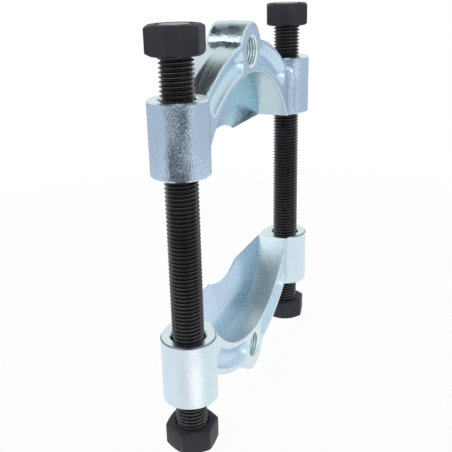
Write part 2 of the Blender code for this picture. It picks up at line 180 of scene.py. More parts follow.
def threaded_rod(tree, name, finish, **sizes):
    obj = guide(name, bpy.data.meshes.new(name))
    maker = obj.modifiers.new("thread", "NODES")
    maker.node_group = tree
    sockets = {item.name: item.identifier for item in tree.interface.items_tree}
    maker[sockets["Finish"]] = finish
    for socket_name, value in sizes.items():
        maker[sockets[socket_name.replace("_", " ")]] = value
    mesh = plain_mesh(obj, name)
    bpy.data.objects.remove(obj)
    return mesh


def finish_piece(name, mesh, body, cad_node, sharp=30.0):
    """A finished mesh becomes a piece: soft over its curves, crisp at its edges, carried by its body."""
    mesh.shade_smooth()
    mesh.set_sharp_from_angle(angle=math.radians(sharp))
    piece = guide(name, mesh)
    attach(piece, body)
    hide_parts(cad_node)
    return piece


def new_finish(name):
    """An empty material with its shader, and the piece's own coordinates in metres."""
    finish = bpy.data.materials.new(name)
    finish.use_nodes = True
    tree = finish.node_tree
    return finish, tree, tree.nodes["Principled BSDF"], tree.nodes.new("ShaderNodeTexCoord").outputs["Object"]


def ramp(tree, factor, *stops):
    """Colours or grey levels blended along a factor."""
    made = node(tree, "ShaderNodeValToRGB", {"Fac": factor})
    points = made.color_ramp.elements
    while len(points) < len(stops):
        points.new(0.5)
    for point, (position, colour) in zip(points, stops):
        point.position = position
        point.color = (*colour, 1.0) if isinstance(colour, tuple) else (colour, colour, colour, 1.0)
    return made.outputs["Color"]


def blotches(tree, where, scale, detail=2.0, roughness=0.5):
    return node(tree, "ShaderNodeTexNoise",
                {"Vector": where, "Scale": scale, "Detail": detail, "Roughness": roughness}).outputs["Fac"]


def stud_black():
    """Dark oxide, with a painted highlight: the crests of the thread are painted a lighter grey in patches.
    """
    finish, tree, shader, where = new_finish("blackened stud steel")
    place = node(tree, "ShaderNodeSeparateXYZ", {"Vector": where})
    across = maths(tree, "SUBTRACT", maths(tree, "ABSOLUTE", place.outputs["X"]), STUD_HALF_SPACING)
    from_axis = maths(tree, "SQRT", maths(tree, "ADD", maths(tree, "POWER", across, 2.0),
                                          maths(tree, "POWER", place.outputs["Y"], 2.0)))
    crown = THREAD_DIAMETER / 2
    crest = node(tree, "ShaderNodeMapRange",
                 {"Value": from_axis, "From Min": crown - CREST_HIGHLIGHT_BAND, "From Max": crown})
    # Painted highlight: the crests get a lighter grey, in patches, standing in for the thin light lines of
    # their gloss
    crest_highlight = maths(tree, "MULTIPLY", crest.outputs["Result"],
                   ramp(tree, blotches(tree, where, 180.0), (0.35, 0.35), (0.60, 1.0)))
    oxide = ramp(tree, blotches(tree, where, 260.0, 4.0), (0.30, STUD_OXIDE), (0.75, STUD_OXIDE_PALE))
    oxide_and_crest_highlight = node(tree, "ShaderNodeMix", {0: crest_highlight, 6: oxide, 7: (*STUD_CREST_HIGHLIGHT, 1.0)}, data_type="RGBA")
    tree.links.new(oxide_and_crest_highlight.outputs[2], shader.inputs["Base Color"])
    tree.links.new(ramp(tree, blotches(tree, where, 900.0), (0.30, 0.18), (0.75, 0.32)),
                   shader.inputs["Roughness"])
    shader.inputs["Metallic"].default_value = 0.0
    shader.inputs["Specular IOR Level"].default_value = 0.5
    grain = node(tree, "ShaderNodeBump",
                 {"Height": blotches(tree, where, 2600.0), "Strength": 0.25, "Distance": 0.00005})
    tree.links.new(grain.outputs["Normal"], shader.inputs["Normal"])
    return finish


def stud_end():
    """The sawn and polished ends, where the bare steel shows."""
    finish, tree, shader, where = new_finish("polished stud end")
    shader.inputs["Base Color"].default_value = (*STUD_BARE_STEEL, 1.0)
    shader.inputs["Metallic"].default_value = 1.0
    tree.links.new(ramp(tree, blotches(tree, where, 400.0, 3.0), (0.3, 0.10), (0.7, 0.20)),
                   shader.inputs["Roughness"])
    return finish


def turn_ends(mesh, finish):
    """Gives the flat discs at both ends a finish of their own."""
    mesh.materials.append(finish)
    for face in mesh.polygons:
        at_end = not END_TOLERANCE < face.center.z < STUD_LENGTH - END_TOLERANCE
        if at_end and abs(face.normal.z) > 0.95:
            face.material_index = 1


def crisp_ends(mesh):
    """The thread's crests are rolled soft, and only the rims of the end discs are sharp."""
    for edge in mesh.edges:
        heights = [mesh.vertices[place].co.z for place in edge.vertices]
        if max(heights) < DISC_TOLERANCE or min(heights) > STUD_LENGTH - DISC_TOLERANCE:
            edge.use_edge_sharp = True


rod_tree = threaded_rod_tree()
stud_finish = stud_black()
end_finish = stud_end()
for stud_name, side, start in (("near_stud", -1, NEAR_STUD_START), ("far_stud", 1, FAR_STUD_START)):
    stud_mesh = threaded_rod(rod_tree, stud_name + "_threaded", stud_finish)
    turn_ends(stud_mesh, end_finish)
    stud_mesh.transform(Matrix.Translation((side * STUD_HALF_SPACING, 0, 0))
                        @ Matrix.Rotation(math.radians(start), 4, "Z"))
    finish_piece(stud_name + "_threaded", stud_mesh, "studs", stud_name, 65.0)
    crisp_ends(stud_mesh)


# Half shells
# Two like steel drop forgings, zinc-plated and passivated to a blue-white. The blank comes from the
# dies with soft edges and a ridge where they met, then the mouth, blade, bores and ends are machined.
UPPER_PARTING = 0.144
LOWER_PARTING = 0.062
BOSS_RADIUS = 0.014
BOSS_LENGTH = 0.0345
BOSS_EDGE_CHAMFER = 0.0007
BOSS_BORE_RADIUS = 0.00875
BOSS_FILLET = 0.006
FACE_DEPTH = 0.006
BACK_DEPTH = 0.014
RIM_TOP = 0.0517
RIM_OVER_STUDS = 0.0133
RIM_DRAFT = 0.0007
FLASH_RIDGE = 0.00035
FLASH_HALF_WIDTH = 0.0007
FACE_EDGE_ROUND = 0.0007
BACK_EDGE_ROUND = 0.0016
PULL_HOLE_CORE_DIAMETER = 0.01438
PULL_HOLE_MOUTH_RADIUS = 0.0084
PULL_HOLE_FLARE_DEPTH = 0.0008
PULL_HOLE_PITCH = 0.0015
PULL_HOLE_TAP_LENGTH = 0.033
PULL_BOSS_RADIUS = 0.0153
PULL_BOSS_FILLET = 0.003
PULL_BOSS_DRAFT_SHARE = 0.35
MOUTH_TO_PULL_HOLE = 0.0029
POCKET_WIDTH = 0.0114
POCKET_DEPTH = 0.004
POCKET_BOWL = 2.2
POCKET_FLOOR_SHARE = 0.97
POCKET_FLARE_SHARE = 0.06
POCKET_RIM_WALL = 0.003
POCKET_TO_HOLE = 0.0032
POCKET_TO_BOSS = 0.0076
MOUTH_HEIGHT = 0.0347
MOUTH_REACH = 0.06275
MOUTH_EDGE = 0.0009
BLADE_ROOT = 0.005
BLADE_EDGE = 0.0009
BLADE_TIP_EDGE = 0.0003
BLADE_BEVEL_HEIGHT = 0.012
BLADE_BEVEL_REACH = 0.028
KNIFE_RADIUS = 0.0425
KNIFE_HEIGHT = 0.005
KNIFE_LAND = 0.0005
KNIFE_SLOPE = 0.25
DIE_ALLOWANCE = 0.006
BACK_ALLOWANCE = 0.0004
END_ALLOWANCE = 0.003
SKIN_VOXEL = 0.00055
SKIN_SOFTENING = 10
DIE_WEAR = 0.00006
BOSS_STEPS = 160
BORE_STEPS = 96
# How far the cutters stand clear of the forging, so that no two faces lie in one plane
CLEAR = 0.03
LEAD = 0.01
NUDGE = 0.001

rim_rise = RIM_TOP - RIM_OVER_STUDS
rim_radius = (STUD_HALF_SPACING ** 2 + rim_rise ** 2) / (2 * rim_rise)
rim_centre = RIM_TOP - rim_radius
mouth_radius = (MOUTH_REACH ** 2 + MOUTH_HEIGHT ** 2) / (2 * MOUTH_HEIGHT)
mouth_centre = MOUTH_HEIGHT - mouth_radius
pull_hole_height = MOUTH_HEIGHT + MOUTH_TO_PULL_HOLE + PULL_HOLE_MOUTH_RADIUS


def arc(centre, radius, start, end, steps):
    turns = [start + (end - start) * step / steps for step in range(steps + 1)]
    return [(centre[0] + radius * math.cos(turn), centre[1] + radius * math.sin(turn)) for turn in turns]


def loft(name, rings):
    """Closed rings with equal numbers of points, joined one to the next and capped at both ends."""
    shape = bmesh.new()
    rows = [[shape.verts.new(point) for point in ring] for ring in rings]
    for low, high in zip(rows, rows[1:]):
        for index in range(len(low)):
            after = (index + 1) % len(low)
            shape.faces.new((low[index], low[after], high[after], high[index]))
    shape.faces.new(rows[0])
    shape.faces.new(rows[-1])
    bmesh.ops.recalc_face_normals(shape, faces=shape.faces)
    mesh = bpy.data.meshes.new(name)
    shape.to_mesh(mesh)
    shape.free()
    return guide(name, mesh)


def turned(name, profile, steps, place):
    """A profile of (radius, height) points, turned about its own axis and put in place."""
    shape = bmesh.new()
    points = [shape.verts.new((radius, 0, height)) for radius, height in profile]
    edges = [shape.edges.new(pair) for pair in zip(points, points[1:])]
    bmesh.ops.spin(shape, geom=points + edges, cent=(0, 0, 0), axis=(0, 0, 1), angle=math.tau, steps=steps)
    bmesh.ops.remove_doubles(shape, verts=shape.verts, dist=WELD)
    bmesh.ops.recalc_face_normals(shape, faces=shape.faces)
    mesh = bpy.data.meshes.new(name)
    shape.to_mesh(mesh)
    shape.free()
    mesh.transform(place)
    return guide(name, mesh)


def combine(obj, others, operation):
    """Adds, cuts or keeps the space shared with other shapes, which are then deleted."""
    for other in others:
        step = obj.modifiers.new(other.name, "BOOLEAN")
        step.operation = operation
        step.solver = "MANIFOLD"
        step.material_mode = "TRANSFER"
        step.object = other
    mesh = plain_mesh(obj, obj.name)
    obj.modifiers.clear()
    obj.data = mesh
    for other in others:
        bpy.data.objects.remove(other)
    return obj


def upright(points, depth):
    return [(across, depth, height) for across, height in points]


def body_outline(offset):
    """The rim, the pulling boss over it and the fillets between them, seen from the face."""
    rim = rim_radius + offset
    boss = PULL_BOSS_RADIUS + (offset if offset < 0 else offset * PULL_BOSS_DRAFT_SHARE)
    fillet = PULL_BOSS_FILLET - offset
    span = pull_hole_height - rim_centre
    rise = ((rim + fillet) ** 2 - (boss + fillet) ** 2 + span ** 2) / (2 * span)
    reach = math.sqrt((rim + fillet) ** 2 - rise ** 2)
    from_rim = math.atan2(rise, reach)
    from_boss = math.atan2(rise - span, reach)
    side = arc((0, rim_centre), rim, math.acos(STUD_HALF_SPACING / rim), from_rim, 60)
    side += arc((reach, rim_centre + rise), fillet, from_rim - math.pi, from_boss - math.pi, 8)[1:]
    side += arc((0, pull_hole_height), boss, from_boss, math.pi / 2, 24)[1:]
    other_side = [(-across, height) for across, height in reversed(side[:-1])]
    foot = [(-STUD_HALF_SPACING, -DIE_ALLOWANCE), (STUD_HALF_SPACING, -DIE_ALLOWANCE)]
    return foot + side + other_side


def rounded(start, end, start_round, end_round, ridge):
    """Depths and outline offsets from start to end, both edges rounded, with the dies' ridge between."""
    levels = []
    for step in range(4, -1, -1):
        turn = math.pi / 2 * step / 4
        levels.append((start + start_round * (1 - math.sin(turn)), start_round * (math.cos(turn) - 1)))
    middle = (start + end) / 2
    levels.append((middle - FLASH_HALF_WIDTH, ridge))
    levels.append((middle, ridge + FLASH_RIDGE))
    levels.append((middle + FLASH_HALF_WIDTH, ridge))
    for step in range(5):
        turn = math.pi / 2 * step / 4
        levels.append((end - end_round * (1 - math.sin(turn)), end_round * (math.cos(turn) - 1)))
    return sorted(levels)


def boss_fillet(side):
    """Leads the face forward onto an end boss, kept below the rim by the body's own outline."""
    drop = FACE_DEPTH + BOSS_FILLET
    reach = math.sqrt((BOSS_RADIUS + BOSS_FILLET) ** 2 - drop ** 2)
    points = arc((STUD_HALF_SPACING - reach, -drop), BOSS_FILLET, math.pi / 2, math.atan2(drop, reach), 16)
    points += [(STUD_HALF_SPACING, -FACE_DEPTH), (STUD_HALF_SPACING, 0.0), (STUD_HALF_SPACING - reach, 0.0)]
    levels = (-DIE_ALLOWANCE, BOSS_LENGTH)
    fillet = loft("fillet", [[(side * across, depth, level) for across, depth in points] for level in levels])
    limit = loft("limit", [upright(body_outline(0.0), depth) for depth in (-CLEAR, BACK_DEPTH)])
    return combine(fillet, [limit], "INTERSECT")


def pocket(side):
    """A kidney-shaped bowl, pressed into the face by the die."""
    middle = rim_radius - POCKET_RIM_WALL - POCKET_WIDTH / 2
    start = math.acos((PULL_HOLE_MOUTH_RADIUS + POCKET_TO_HOLE + POCKET_WIDTH / 2) / middle)
    end = math.acos((STUD_HALF_SPACING - BOSS_RADIUS - POCKET_TO_BOSS - POCKET_WIDTH / 2) / middle)
    rings = []
    for step in range(-1, 13):
        share = POCKET_FLOOR_SHARE * step / 12
        depth = -FACE_DEPTH + POCKET_DEPTH * (1 - (1 - share) ** POCKET_BOWL)
        if step < 0:
            share = -POCKET_FLARE_SHARE
            depth = -FACE_DEPTH - NUDGE
        half = POCKET_WIDTH / 2 * (1 - share)
        points = arc((0, rim_centre), middle + half, start, end, 40)
        for angle, flip in ((end, 0.0), (start, math.pi)):
            centre = (middle * math.cos(angle), rim_centre + middle * math.sin(angle))
            points += arc(centre, half, angle + flip, angle + flip - math.pi, 20)[1:-1]
            if not flip:
                points += arc((0, rim_centre), middle - half, end, start, 40)
        rings.append([(side * across, depth, height) for across, height in points])
    return loft("pocket", rings)


def forged_blank():
    """The forging as it leaves the dies, with stock left on its back, its ends and the parting plane."""
    levels = rounded(-FACE_DEPTH, BACK_DEPTH + BACK_ALLOWANCE, FACE_EDGE_ROUND, BACK_EDGE_ROUND, RIM_DRAFT)
    blank = loft("half_shell_blank", [upright(body_outline(offset), depth) for depth, offset in levels])
    bosses = []
    for side in (-1, 1):
        section = [(0, BOSS_LENGTH + END_ALLOWANCE), (BOSS_RADIUS, BOSS_LENGTH + END_ALLOWANCE),
                   (BOSS_RADIUS, -DIE_ALLOWANCE), (0, -DIE_ALLOWANCE)]
        place = Matrix.Translation((side * STUD_HALF_SPACING, 0, 0))
        bosses += [turned(f"boss{side}", section, BOSS_STEPS, place), boss_fillet(side)]
    combine(blank, bosses, "UNION")
    combine(blank, [pocket(-1), pocket(1)], "DIFFERENCE")
    skin = blank.modifiers.new("skin", "REMESH")
    skin.mode = "VOXEL"
    skin.voxel_size = SKIN_VOXEL
    soft = blank.modifiers.new("soft edges", "SMOOTH")
    soft.factor = 0.5
    soft.iterations = SKIN_SOFTENING
    blank.data = plain_mesh(blank, "half_shell_blank")
    blank.modifiers.clear()
    # The dies wear, so the skin dips gently here and there
    outwards = [vertex.normal.copy() for vertex in blank.data.vertices]
    for vertex, way in zip(blank.data.vertices, outwards):
        dip = 0.5 + 0.5 * noise.noise(vertex.co * 95.0) + 0.25 * noise.noise(vertex.co * 260.0)
        vertex.co -= way * DIE_WEAR * max(dip, 0.0)
    return blank


def blade_front(height):
    """Depth of the blade's front, a shallow arc from its root to the parting plane."""
    share = (MOUTH_HEIGHT - min(height, MOUTH_HEIGHT)) / MOUTH_HEIGHT
    return BACK_DEPTH - BLADE_ROOT + (BLADE_ROOT - BLADE_EDGE) * share ** 2


def bevel_space(side):
    """The space in front of one flat ground bevel beside the shaft arc."""
    corner = Vector((MOUTH_REACH, BACK_DEPTH - BLADE_EDGE, 0.0))
    tip_reach = math.sqrt(KNIFE_RADIUS ** 2 - (KNIFE_HEIGHT - KNIFE_RADIUS) ** 2)
    tip = Vector((tip_reach, BACK_DEPTH - BLADE_TIP_EDGE, 0.0))
    top = Vector((BLADE_BEVEL_REACH, blade_front(BLADE_BEVEL_HEIGHT), BLADE_BEVEL_HEIGHT))
    normal = (tip - corner).cross(top - corner)
    if normal.y < 0:
        normal.negate()
    shape = bmesh.new()
    bmesh.ops.create_cube(shape, size=1.0)
    low = Vector((0.0, -CLEAR, -LEAD))
    high = Vector((STUD_HALF_SPACING, BACK_DEPTH + KNIFE_LAND, MOUTH_HEIGHT))
    fit = Matrix.Translation((low + high) / 2) @ Matrix.Diagonal((*(high - low), 1.0))
    bmesh.ops.transform(shape, matrix=fit, verts=shape.verts)
    whole = shape.verts[:] + shape.edges[:] + shape.faces[:]
    bmesh.ops.bisect_plane(shape, geom=whole, plane_co=corner, plane_no=normal, clear_outer=True)
    bmesh.ops.holes_fill(shape, edges=[edge for edge in shape.edges if edge.is_boundary])
    bmesh.ops.transform(shape, matrix=Matrix.Diagonal((side, 1, 1, 1)), verts=shape.verts)
    bmesh.ops.recalc_face_normals(shape, faces=shape.faces)
    mesh = bpy.data.meshes.new("bevel")
    shape.to_mesh(mesh)
    shape.free()
    return guide(f"bevel{side}", mesh)


def mouth_cutter(wall_finish, blade_finish):
    """The end mill's sweep: an arc wall with a rounded edge, down to the blade's front."""
    flare = MOUTH_EDGE + 0.002
    levels = [(-CLEAR, flare), (-FACE_DEPTH - NUDGE, flare)]
    for step in range(6, -1, -1):
        turn = math.pi / 2 * step / 6
        levels.append((-FACE_DEPTH + MOUTH_EDGE * (1 - math.sin(turn)), MOUTH_EDGE * (1 - math.cos(turn))))
    levels.append((BACK_DEPTH + LEAD, 0.0))
    rings = []
    for depth, offset in levels:
        radius = mouth_radius + offset
        end = math.asin((-LEAD - mouth_centre) / radius)
        rings.append(upright(arc((0, mouth_centre), radius, end, math.pi - end, 150), depth))
    cutter = loft("mouth", rings)
    cutter.data.materials.append(wall_finish)
    heights = [-LEAD + (RIM_TOP + LEAD) * step / 72 for step in range(73)]
    points = [(min(blade_front(height), BACK_DEPTH + KNIFE_LAND), height) for height in heights]
    points = [(-CLEAR, -LEAD)] + points + [(-CLEAR, RIM_TOP)]
    space = loft("blade_space", [[(across, depth, height) for depth, height in points]
                                 for across in (-STUD_HALF_SPACING, STUD_HALF_SPACING)])
    combine(space, [bevel_space(-1), bevel_space(1)], "UNION")
    space.data.materials.clear()
    space.data.materials.append(blade_finish)
    return combine(cutter, [space], "INTERSECT")


def bore(name, radius, mouth, flare_depth, low, high, steps, place, finish):
    """A drilled bore, countersunk at both ends."""
    over = mouth + (mouth - radius) / flare_depth * NUDGE
    profile = [(0, high + NUDGE), (over, high + NUDGE), (radius, high - flare_depth),
               (radius, low + flare_depth), (over, low - NUDGE), (0, low - NUDGE)]
    made = turned(name, profile, steps, place)
    made.data.materials.append(finish)
    return made


def end_cutter(side, level, outwards, finish):
    """Faces one end of a boss square, and takes the sharp edge off its rim."""
    slack = 0.0004
    shoulder = level - outwards * (BOSS_EDGE_CHAMFER + slack)
    beyond = level + outwards * 0.012
    wide = BOSS_RADIUS + 0.004
    profile = [(0, level), (BOSS_RADIUS - BOSS_EDGE_CHAMFER, level), (BOSS_RADIUS + slack, shoulder),
               (wide, shoulder), (wide, beyond), (0, beyond)]
    place = Matrix.Translation((side * STUD_HALF_SPACING, 0, 0))
    made = turned(f"end{side}{outwards}", profile, BOSS_STEPS, place)
    made.data.materials.append(finish)
    return made


def parting_chamfer(side, finish):
    """The same at the parting plane, only where the boss stands proud of the body and its fillet."""
    ring = end_cutter(side, 0.0, -1, finish)
    depths = (-FACE_DEPTH, BACK_DEPTH + NUDGE)
    body = loft("body", [upright(body_outline(0.0), depth) for depth in depths])
    return combine(ring, [body, boss_fillet(side)], "DIFFERENCE")


def box_cutter(name, low, high, finish):
    shape = bmesh.new()
    bmesh.ops.create_cube(shape, size=1.0)
    low = Vector(low)
    high = Vector(high)
    fit = Matrix.Translation((low + high) / 2) @ Matrix.Diagonal((*(high - low), 1.0))
    bmesh.ops.transform(shape, matrix=fit, verts=shape.verts)
    mesh = bpy.data.meshes.new(name)
    shape.to_mesh(mesh)
    shape.free()
    mesh.materials.append(finish)
    return guide(name, mesh)


def zinc(name, pale, deep, rough, grain_scale, grain_depth, stretch=(1.0, 1.0, 1.0),
         scale_depth=0.0, lean=None, metallic=1.0):
    """Bright zinc, passivated: its tint drifts over the part, the steel's grain shows through, and painted
    shade darkens the grain's hollows.
    """
    finish, tree, shader, where = new_finish(name)
    along = node(tree, "ShaderNodeMapping", {"Vector": where, "Scale": stretch}).outputs["Vector"]
    grain = blotches(tree, along, grain_scale, 3.0, 0.6)
    drift = blotches(tree, where, 24.0, 3.0)
    if lean:
        # The tint leans towards its deep end further right and higher up
        slant = node(tree, "ShaderNodeVectorMath", {0: where, 1: lean}, operation="DOT_PRODUCT")
        drift = maths(tree, "ADD", drift, maths(tree, "SUBTRACT", slant.outputs["Value"], 0.25))
    tint = ramp(tree, drift, (0.36, pale), (0.64, deep))
    # Painted shade: the colour is a little darker in the hollows of the grain, where shade falls
    grain_hollow_shade = ramp(tree, grain, (0.34, 0.94), (0.54, 1.0))
    tint_with_hollow_shade = node(tree, "ShaderNodeMix", {0: 1.0, 6: tint, 7: grain_hollow_shade},
                  data_type="RGBA", blend_type="MULTIPLY")
    tree.links.new(tint_with_hollow_shade.outputs[2], shader.inputs["Base Color"])
    shader.inputs["Metallic"].default_value = metallic
    tree.links.new(ramp(tree, grain, (0.30, rough - 0.05), (0.70, rough + 0.07)), shader.inputs["Roughness"])
    pits = node(tree, "ShaderNodeBump", {"Height": grain, "Strength": 1.0, "Distance": grain_depth})
    normal = pits.outputs["Normal"]
    if scale_depth:
        # Forge scale left its print, sharp here and faint there
        streaks = node(tree, "ShaderNodeMapping", {"Vector": where, "Scale": (1.0, 1.0, 0.45)})
        streaks = streaks.outputs["Vector"]
        clumps = ramp(tree, blotches(tree, streaks, 130.0, 2.0), (0.36, 0.35), (0.62, 1.0))
        pitted = maths(tree, "MULTIPLY", clumps, blotches(tree, streaks, 1400.0, 2.0, 0.6))
        print_left = node(tree, "ShaderNodeBump",
                          {"Height": pitted, "Strength": 1.0, "Distance": scale_depth, "Normal": normal})
        normal = print_left.outputs["Normal"]
    tree.links.new(normal, shader.inputs["Normal"])
    return finish


forged = zinc("forged zinc", (0.67, 0.78, 0.87), (0.65, 0.81, 0.88), 0.17, 900.0, 0.00001,
              scale_depth=0.00024)
pressed = zinc("die-pressed zinc", (0.56, 0.74, 0.88), (0.62, 0.80, 0.90), 0.30, 900.0, 0.00004)
trimmed = zinc("trimmed zinc", (0.64, 0.74, 0.80), (0.68, 0.80, 0.84), 0.22, 900.0, 0.00008,
               stretch=(0.05, 1.0, 0.05))
machined = zinc("turned zinc", (0.76, 0.86, 0.90), (0.78, 0.89, 0.92), 0.24, 1500.0, 0.00001)
tapped = zinc("tapped zinc", (0.82, 0.93, 0.94), (0.80, 0.93, 0.96), 0.30, 1500.0, 0.00001)
milled = zinc("milled zinc", (0.62, 0.77, 0.84), (0.66, 0.81, 0.87), 0.23, 2000.0, 0.00009,
              stretch=(1.0, 0.45, 1.0), metallic=0.58)
ground = zinc("ground zinc", (0.58, 0.74, 0.90), (0.50, 0.79, 0.90), 0.27, 300.0, 0.000001,
              lean=(2.0, 0.0, 2.5))
honed = zinc("honed zinc", (0.55, 0.71, 0.88), (0.50, 0.77, 0.89), 0.26, 300.0, 0.000001,
             lean=(2.0, 0.0, 2.5))
# Painted shade: a dark zinc laid on edges that show a dark line at their angle to the light
zinc_painted_dark = zinc("zinc painted dark at edges", (0.22, 0.24, 0.30), (0.32, 0.34, 0.42), 0.28, 900.0, 0.00004)


def trim_rim(mesh):
    """The rim's outer surface, where the flash was ground off along the arc, and the pockets' bowls."""
    mesh.materials.append(trimmed)
    trimmed_slot = len(mesh.materials) - 1
    mesh.materials.append(pressed)
    pressed_slot = trimmed_slot + 1
    rim_reach = STUD_HALF_SPACING - BOSS_RADIUS
    bowl_inner = rim_radius - POCKET_RIM_WALL - POCKET_WIDTH
    bowl_outer = rim_radius - POCKET_RIM_WALL
    bowl_front = 0.00045 - FACE_DEPTH
    bowl_floor = POCKET_DEPTH - FACE_DEPTH + 0.0003
    for face in mesh.polygons:
        if face.material_index:
            continue
        across, depth, height = face.center
        far = math.hypot(across, height - rim_centre)
        outwards = (face.normal.x * across + face.normal.z * (height - rim_centre)) / far
        if abs(far - rim_radius) < 0.0016 and outwards > 0.9 and abs(across) < rim_reach:
            face.material_index = trimmed_slot
        in_bowl = bowl_inner < far < bowl_outer and bowl_front < depth < bowl_floor
        if in_bowl and face.material_index == 0 and abs(across) < rim_reach - POCKET_TO_BOSS:
            face.material_index = pressed_slot


def knife_cutter(finish):
    """The cone that grinds the shaft arc through the blade, with a narrow land left at its edge."""
    height = 0.006
    profile = [(0, height), (KNIFE_RADIUS + (height - KNIFE_LAND) / KNIFE_SLOPE, height),
               (KNIFE_RADIUS, KNIFE_LAND), (KNIFE_RADIUS, -LEAD), (0, -LEAD)]
    centre = Matrix.Translation((0, BACK_DEPTH, KNIFE_HEIGHT - KNIFE_RADIUS))
    made = turned("knife", profile, 256, centre @ Matrix.Rotation(math.pi / 2, 4, "X"))
    made.data.materials.append(finish)
    return made


def tap_cutter(finish):
    """The pulling hole's thread, a whole number of turns long, which reaches out of both faces."""
    mesh = threaded_rod(rod_tree, "tap", finish, Length=PULL_HOLE_TAP_LENGTH,
                        Core_Diameter=PULL_HOLE_CORE_DIAMETER, Pitch=PULL_HOLE_PITCH, Steps_Around=64)
    overrun = 0.006
    start = Matrix.Translation((0, BACK_DEPTH + overrun, pull_hole_height))
    mesh.transform(start @ Matrix.Rotation(math.pi / 2, 4, "X"))
    return guide("tap", mesh)


def half_shell_mesh():
    """One half shell, mouth downwards, with the parting plane at height 0 and the studs' plane at depth 0."""
    blank = forged_blank()
    through = Matrix.Translation((0, 0, pull_hole_height)) @ Matrix.Rotation(math.pi / 2, 4, "X")
    tap = tap_cutter(tapped)
    cutters = [
        mouth_cutter(milled, ground),
        box_cutter("parting", (-0.12, -CLEAR, -0.02), (0.12, CLEAR, 0.0), machined),
        box_cutter("back", (-0.12, BACK_DEPTH, -CLEAR), (0.12, CLEAR, 0.08), machined),
        knife_cutter(honed),
        bore("pull", PULL_HOLE_CORE_DIAMETER / 2, PULL_HOLE_MOUTH_RADIUS, PULL_HOLE_FLARE_DEPTH,
             -BACK_DEPTH, FACE_DEPTH, BORE_STEPS, through, tapped),
        tap,
    ]
    for side in (-1, 1):
        place = Matrix.Translation((side * STUD_HALF_SPACING, 0, 0))
        cutters.append(bore(f"bore{side}", BOSS_BORE_RADIUS, BOSS_BORE_RADIUS + BOSS_EDGE_CHAMFER,
                            BOSS_EDGE_CHAMFER, 0.0, BOSS_LENGTH, BORE_STEPS, place, machined))
        cutters.append(end_cutter(side, BOSS_LENGTH, 1, machined))
        cutters.append(parting_chamfer(side, machined))
    blank.data.materials.clear()
    blank.data.materials.append(forged)
    combine(blank, cutters, "DIFFERENCE")
    mesh = blank.data
    bpy.data.objects.remove(blank)
    trim_rim(mesh)
    return mesh


def paint_dark_edges(mesh):
    """Painted shade at the parting plane: a dark zinc stands in for the dark line that the edges round each
    boss and along the blade show at their angle.
    """
    level = 0.00005
    shape = bmesh.new()
    shape.from_mesh(mesh)
    for reach in (-MOUTH_REACH, MOUTH_REACH):
        flat = [face for face in shape.faces
                if face.normal.z < -0.9 and face.calc_center_median().z < level]
        parts = {part for face in flat for part in (face, *face.edges, *face.verts)}
        bmesh.ops.bisect_plane(shape, geom=list(parts), plane_co=(reach, 0, 0), plane_no=(1, 0, 0))
    shape.to_mesh(mesh)
    shape.free()
    mesh.materials.append(zinc_painted_dark)
    painted_dark_slot = len(mesh.materials) - 1
    blade_front_depth = BACK_DEPTH - BLADE_EDGE - 0.0002
    for face in mesh.polygons:
        across, depth, height = face.center
        far = math.hypot(abs(across) - STUD_HALF_SPACING, depth)
        on_chamfer = level < height < BOSS_EDGE_CHAMFER and -BOSS_EDGE_CHAMFER < far - BOSS_RADIUS < 0.0004
        on_blade = height < level and abs(across) < MOUTH_REACH and depth > blade_front_depth
        if face.normal.z < -0.4 and (on_chamfer or on_blade):
            face.material_index = painted_dark_slot


shell_mesh = half_shell_mesh()
turned_over = Matrix.Translation((0, 0, LOWER_PARTING)) @ Matrix.Rotation(math.pi, 4, "Y")
upright_place = Matrix.Translation((0, 0, UPPER_PARTING))
for half, place in (("upper_half", upright_place), ("lower_half", turned_over)):
    half_mesh = shell_mesh.copy()
    # Only the lower half's parting edges get the painted shade
    if half == "lower_half":
        paint_dark_edges(half_mesh)
    half_mesh.transform(place)
    finish_piece(half + "_forging", half_mesh, half, half + "_shell", 32.0)


# Nuts
# Four hexagon nuts, 24 mm across flats, hot forged, blackened, chamfered at 30 degrees on both
# faces and countersunk at both ends of the thread. They bound the half shells' travel.
NUT_ACROSS_FLATS = 0.024
NUT_HEIGHT = 0.013
NUT_FACE_RADIUS = 0.0114
NUT_CORNER_ROUND = 0.0010
NUT_BORE_RADIUS = 0.00806
NUT_COUNTERSINK = 0.0008
NUT_EDGE_ROUND = 0.00025
NUT_CHAMFER_ANGLE = 30.0
NUT_OXIDE = (0.0140, 0.0150, 0.0220)
NUT_OXIDE_PALE = (0.0265, 0.0275, 0.0385)
# How far each nut is turned about its stud, in degrees
NUT_TURN = {"near_upper": 11.0, "far_upper": 21.0, "near_lower": 4.0, "far_lower": 10.0}


